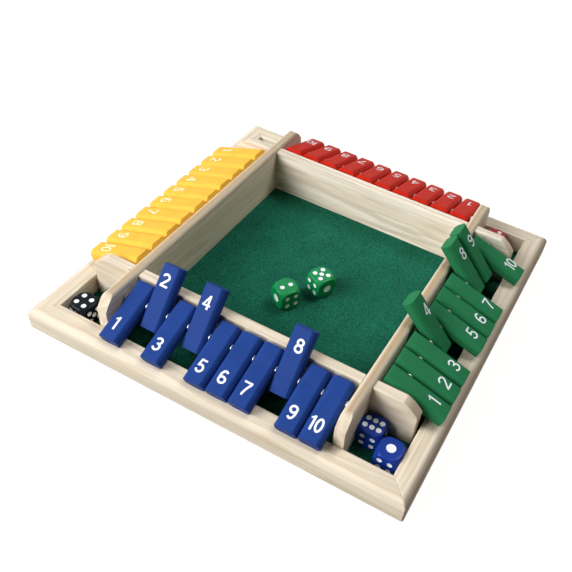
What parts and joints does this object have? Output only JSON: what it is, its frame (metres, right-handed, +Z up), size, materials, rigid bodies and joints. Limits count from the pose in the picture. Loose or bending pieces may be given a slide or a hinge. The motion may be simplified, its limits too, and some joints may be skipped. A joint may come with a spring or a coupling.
{
  "type": "shut the box game",
  "caption": "Square pine dice tray with a row of hinged flip tiles along each side, a lined rolling area in the middle and a dice pocket in each corner.",
  "frame": {"origin": "centre of the tray's underside, on the surface that it stands on", "axes": "+Z up, +X to the right along the front rail, +Y from the front rail to the back rail; the blue row is at the front"},
  "size_m": [0.304, 0.304, 0.0643],
  "materials": {
    "pine": "fine sanded, clear satin lacquer",
    "plywood": "sanded, bare",
    "green_leatherette": "pebbled grain, low sheen",
    "steel": "bright drawn rod and rings",
    "blue_enamel": "satin enamel paint on wood",
    "green_enamel": "satin enamel paint on wood",
    "red_enamel": "satin enamel paint on wood",
    "yellow_enamel": "satin enamel paint on wood",
    "green_plastic": "polished",
    "blue_plastic": "polished",
    "black_plastic": "polished",
    "red_plastic": "polished"
  },
  "bodies": {
    "tray": {"rail_front": "pine", "rail_right": "pine", "rail_back": "pine", "rail_left": "pine", "base_board": "plywood", "tray_lining": "green_leatherette", "long_wall_left": "pine", "long_wall_right": "pine", "cross_board_front": "pine", "cross_board_back": "pine", "axle_blue": "steel", "axle_green": "steel", "axle_red": "steel", "axle_yellow": "steel"},
    "tile_blue_01": {"tile_blue_01": "blue_enamel"},
    "tile_blue_02": {"tile_blue_02": "blue_enamel"},
    "tile_blue_03": {"tile_blue_03": "blue_enamel"},
    "tile_blue_04": {"tile_blue_04": "blue_enamel"},
    "tile_blue_05": {"tile_blue_05": "blue_enamel"},
    "tile_blue_06": {"tile_blue_06": "blue_enamel"},
    "tile_blue_07": {"tile_blue_07": "blue_enamel"},
    "tile_blue_08": {"tile_blue_08": "blue_enamel"},
    "tile_blue_09": {"tile_blue_09": "blue_enamel"},
    "tile_blue_10": {"tile_blue_10": "blue_enamel"},
    "tile_green_01": {"tile_green_01": "green_enamel"},
    "tile_green_02": {"tile_green_02": "green_enamel"},
    "tile_green_03": {"tile_green_03": "green_enamel"},
    "tile_green_04": {"tile_green_04": "green_enamel"},
    "tile_green_05": {"tile_green_05": "green_enamel"},
    "tile_green_06": {"tile_green_06": "green_enamel"},
    "tile_green_07": {"tile_green_07": "green_enamel"},
    "tile_green_08": {"tile_green_08": "green_enamel"},
    "tile_green_09": {"tile_green_09": "green_enamel"},
    "tile_green_10": {"tile_green_10": "green_enamel"},
    "tile_red_01": {"tile_red_01": "red_enamel"},
    "tile_red_02": {"tile_red_02": "red_enamel"},
    "tile_red_03": {"tile_red_03": "red_enamel"},
    "tile_red_04": {"tile_red_04": "red_enamel"},
    "tile_red_05": {"tile_red_05": "red_enamel"},
    "tile_red_06": {"tile_red_06": "red_enamel"},
    "tile_red_07": {"tile_red_07": "red_enamel"},
    "tile_red_08": {"tile_red_08": "red_enamel"},
    "tile_red_09": {"tile_red_09": "red_enamel"},
    "tile_red_10": {"tile_red_10": "red_enamel"},
    "tile_yellow_01": {"tile_yellow_01": "yellow_enamel"},
    "tile_yellow_02": {"tile_yellow_02": "yellow_enamel"},
    "tile_yellow_03": {"tile_yellow_03": "yellow_enamel"},
    "tile_yellow_04": {"tile_yellow_04": "yellow_enamel"},
    "tile_yellow_05": {"tile_yellow_05": "yellow_enamel"},
    "tile_yellow_06": {"tile_yellow_06": "yellow_enamel"},
    "tile_yellow_07": {"tile_yellow_07": "yellow_enamel"},
    "tile_yellow_08": {"tile_yellow_08": "yellow_enamel"},
    "tile_yellow_09": {"tile_yellow_09": "yellow_enamel"},
    "tile_yellow_10": {"tile_yellow_10": "yellow_enamel"},
    "die_green_1": {"die_green_1": "green_plastic"},
    "die_green_2": {"die_green_2": "green_plastic"},
    "die_blue_1": {"die_blue_1": "blue_plastic"},
    "die_blue_2": {"die_blue_2": "blue_plastic"},
    "die_black_1": {"die_black_1": "black_plastic"},
    "die_red_1": {"die_red_1": "red_plastic"}
  },
  "joints": [
    {"name": "blue_01_flip", "type": "hinge", "parent": "tray", "child": "tile_blue_01", "pos_m": [-0.0797, -0.1137, 0.0351], "axis": [-1, 0, 0], "range_deg": [0, 152.02]},
    {"name": "blue_02_flip", "type": "hinge", "parent": "tray", "child": "tile_blue_02", "pos_m": [-0.06198, -0.1137, 0.0351], "axis": [-1, 0, 0], "range_deg": [-152.02, 0]},
    {"name": "blue_03_flip", "type": "hinge", "parent": "tray", "child": "tile_blue_03", "pos_m": [-0.04428, -0.1137, 0.0351], "axis": [-1, 0, 0], "range_deg": [0, 152.02]},
    {"name": "blue_04_flip", "type": "hinge", "parent": "tray", "child": "tile_blue_04", "pos_m": [-0.02656, -0.1137, 0.0351], "axis": [-1, 0, 0], "range_deg": [-152.02, 0]},
    {"name": "blue_05_flip", "type": "hinge", "parent": "tray", "child": "tile_blue_05", "pos_m": [-0.00886, -0.1137, 0.0351], "axis": [-1, 0, 0], "range_deg": [0, 152.02]},
    {"name": "blue_06_flip", "type": "hinge", "parent": "tray", "child": "tile_blue_06", "pos_m": [0.00886, -0.1137, 0.0351], "axis": [-1, 0, 0], "range_deg": [0, 152.02]},
    {"name": "blue_07_flip", "type": "hinge", "parent": "tray", "child": "tile_blue_07", "pos_m": [0.02656, -0.1137, 0.0351], "axis": [-1, 0, 0], "range_deg": [0, 152.02]},
    {"name": "blue_08_flip", "type": "hinge", "parent": "tray", "child": "tile_blue_08", "pos_m": [0.04428, -0.1137, 0.0351], "axis": [-1, 0, 0], "range_deg": [-152.02, 0]},
    {"name": "blue_09_flip", "type": "hinge", "parent": "tray", "child": "tile_blue_09", "pos_m": [0.06198, -0.1137, 0.0351], "axis": [-1, 0, 0], "range_deg": [0, 152.02]},
    {"name": "blue_10_flip", "type": "hinge", "parent": "tray", "child": "tile_blue_10", "pos_m": [0.0797, -0.1137, 0.0351], "axis": [-1, 0, 0], "range_deg": [0, 152.02]},
    {"name": "green_01_flip", "type": "hinge", "parent": "tray", "child": "tile_green_01", "pos_m": [0.1137, -0.0797, 0.0351], "axis": [0, -1, 0], "range_deg": [0, 150.22]},
    {"name": "green_02_flip", "type": "hinge", "parent": "tray", "child": "tile_green_02", "pos_m": [0.1137, -0.06198, 0.0351], "axis": [0, -1, 0], "range_deg": [0, 150.22]},
    {"name": "green_03_flip", "type": "hinge", "parent": "tray", "child": "tile_green_03", "pos_m": [0.1137, -0.04428, 0.0351], "axis": [0, -1, 0], "range_deg": [0, 150.22]},
    {"name": "green_04_flip", "type": "hinge", "parent": "tray", "child": "tile_green_04", "pos_m": [0.1137, -0.02656, 0.0351], "axis": [0, -1, 0], "range_deg": [-150.22, 0]},
    {"name": "green_05_flip", "type": "hinge", "parent": "tray", "child": "tile_green_05", "pos_m": [0.1137, -0.00886, 0.0351], "axis": [0, -1, 0], "range_deg": [0, 150.22]},
    {"name": "green_06_flip", "type": "hinge", "parent": "tray", "child": "tile_green_06", "pos_m": [0.1137, 0.00886, 0.0351], "axis": [0, -1, 0], "range_deg": [0, 150.22]},
    {"name": "green_07_flip", "type": "hinge", "parent": "tray", "child": "tile_green_07", "pos_m": [0.1137, 0.02656, 0.0351], "axis": [0, -1, 0], "range_deg": [0, 150.22]},
    {"name": "green_08_flip", "type": "hinge", "parent": "tray", "child": "tile_green_08", "pos_m": [0.1137, 0.04428, 0.0351], "axis": [0, -1, 0], "range_deg": [-150.22, 0]},
    {"name": "green_09_flip", "type": "hinge", "parent": "tray", "child": "tile_green_09", "pos_m": [0.1137, 0.06198, 0.0351], "axis": [0, -1, 0], "range_deg": [-150.22, 0]},
    {"name": "green_10_flip", "type": "hinge", "parent": "tray", "child": "tile_green_10", "pos_m": [0.1137, 0.0797, 0.0351], "axis": [0, -1, 0], "range_deg": [0, 150.22]},
    {"name": "red_01_flip", "type": "hinge", "parent": "tray", "child": "tile_red_01", "pos_m": [0.0797, 0.1137, 0.0351], "axis": [1, 0, 0], "range_deg": [0, 152.02]},
    {"name": "red_02_flip", "type": "hinge", "parent": "tray", "child": "tile_red_02", "pos_m": [0.06198, 0.1137, 0.0351], "axis": [1, 0, 0], "range_deg": [0, 152.02]},
    {"name": "red_03_flip", "type": "hinge", "parent": "tray", "child": "tile_red_03", "pos_m": [0.04428, 0.1137, 0.0351], "axis": [1, 0, 0], "range_deg": [0, 152.02]},
    {"name": "red_04_flip", "type": "hinge", "parent": "tray", "child": "tile_red_04", "pos_m": [0.02656, 0.1137, 0.0351], "axis": [1, 0, 0], "range_deg": [0, 152.02]},
    {"name": "red_05_flip", "type": "hinge", "parent": "tray", "child": "tile_red_05", "pos_m": [0.00886, 0.1137, 0.0351], "axis": [1, 0, 0], "range_deg": [0, 152.02]},
    {"name": "red_06_flip", "type": "hinge", "parent": "tray", "child": "tile_red_06", "pos_m": [-0.00886, 0.1137, 0.0351], "axis": [1, 0, 0], "range_deg": [0, 152.02]},
    {"name": "red_07_flip", "type": "hinge", "parent": "tray", "child": "tile_red_07", "pos_m": [-0.02656, 0.1137, 0.0351], "axis": [1, 0, 0], "range_deg": [0, 152.02]},
    {"name": "red_08_flip", "type": "hinge", "parent": "tray", "child": "tile_red_08", "pos_m": [-0.04428, 0.1137, 0.0351], "axis": [1, 0, 0], "range_deg": [0, 152.02]},
    {"name": "red_09_flip", "type": "hinge", "parent": "tray", "child": "tile_red_09", "pos_m": [-0.06198, 0.1137, 0.0351], "axis": [1, 0, 0], "range_deg": [0, 152.02]},
    {"name": "red_10_flip", "type": "hinge", "parent": "tray", "child": "tile_red_10", "pos_m": [-0.0797, 0.1137, 0.0351], "axis": [1, 0, 0], "range_deg": [0, 152.02]},
    {"name": "yellow_01_flip", "type": "hinge", "parent": "tray", "child": "tile_yellow_01", "pos_m": [-0.1137, 0.0797, 0.0351], "axis": [0, 1, 0], "range_deg": [0, 150.22]},
    {"name": "yellow_02_flip", "type": "hinge", "parent": "tray", "child": "tile_yellow_02", "pos_m": [-0.1137, 0.06198, 0.0351], "axis": [0, 1, 0], "range_deg": [0, 150.22]},
    {"name": "yellow_03_flip", "type": "hinge", "parent": "tray", "child": "tile_yellow_03", "pos_m": [-0.1137, 0.04428, 0.0351], "axis": [0, 1, 0], "range_deg": [0, 150.22]},
    {"name": "yellow_04_flip", "type": "hinge", "parent": "tray", "child": "tile_yellow_04", "pos_m": [-0.1137, 0.02656, 0.0351], "axis": [0, 1, 0], "range_deg": [0, 150.22]},
    {"name": "yellow_05_flip", "type": "hinge", "parent": "tray", "child": "tile_yellow_05", "pos_m": [-0.1137, 0.00886, 0.0351], "axis": [0, 1, 0], "range_deg": [0, 150.22]},
    {"name": "yellow_06_flip", "type": "hinge", "parent": "tray", "child": "tile_yellow_06", "pos_m": [-0.1137, -0.00886, 0.0351], "axis": [0, 1, 0], "range_deg": [0, 150.22]},
    {"name": "yellow_07_flip", "type": "hinge", "parent": "tray", "child": "tile_yellow_07", "pos_m": [-0.1137, -0.02656, 0.0351], "axis": [0, 1, 0], "range_deg": [0, 150.22]},
    {"name": "yellow_08_flip", "type": "hinge", "parent": "tray", "child": "tile_yellow_08", "pos_m": [-0.1137, -0.04428, 0.0351], "axis": [0, 1, 0], "range_deg": [0, 150.22]},
    {"name": "yellow_09_flip", "type": "hinge", "parent": "tray", "child": "tile_yellow_09", "pos_m": [-0.1137, -0.06198, 0.0351], "axis": [0, 1, 0], "range_deg": [0, 150.22]},
    {"name": "yellow_10_flip", "type": "hinge", "parent": "tray", "child": "tile_yellow_10", "pos_m": [-0.1137, -0.0797, 0.0351], "axis": [0, 1, 0], "range_deg": [0, 150.22]},
    {"name": "die_green_1_lift", "type": "slide", "parent": "tray", "child": "die_green_1", "axis": [0, 0, 1], "range_m": [0, 0.07]},
    {"name": "die_green_2_lift", "type": "slide", "parent": "tray", "child": "die_green_2", "axis": [0, 0, 1], "range_m": [0, 0.07]},
    {"name": "die_blue_1_lift", "type": "slide", "parent": "tray", "child": "die_blue_1", "axis": [0, 0, 1], "range_m": [0, 0.07]},
    {"name": "die_blue_2_lift", "type": "slide", "parent": "tray", "child": "die_blue_2", "axis": [0, 0, 1], "range_m": [0, 0.07]},
    {"name": "die_black_1_lift", "type": "slide", "parent": "tray", "child": "die_black_1", "axis": [0, 0, 1], "range_m": [0, 0.07]},
    {"name": "die_red_1_lift", "type": "slide", "parent": "tray", "child": "die_red_1", "axis": [0, 0, 1], "range_m": [0, 0.07]}
  ]
}
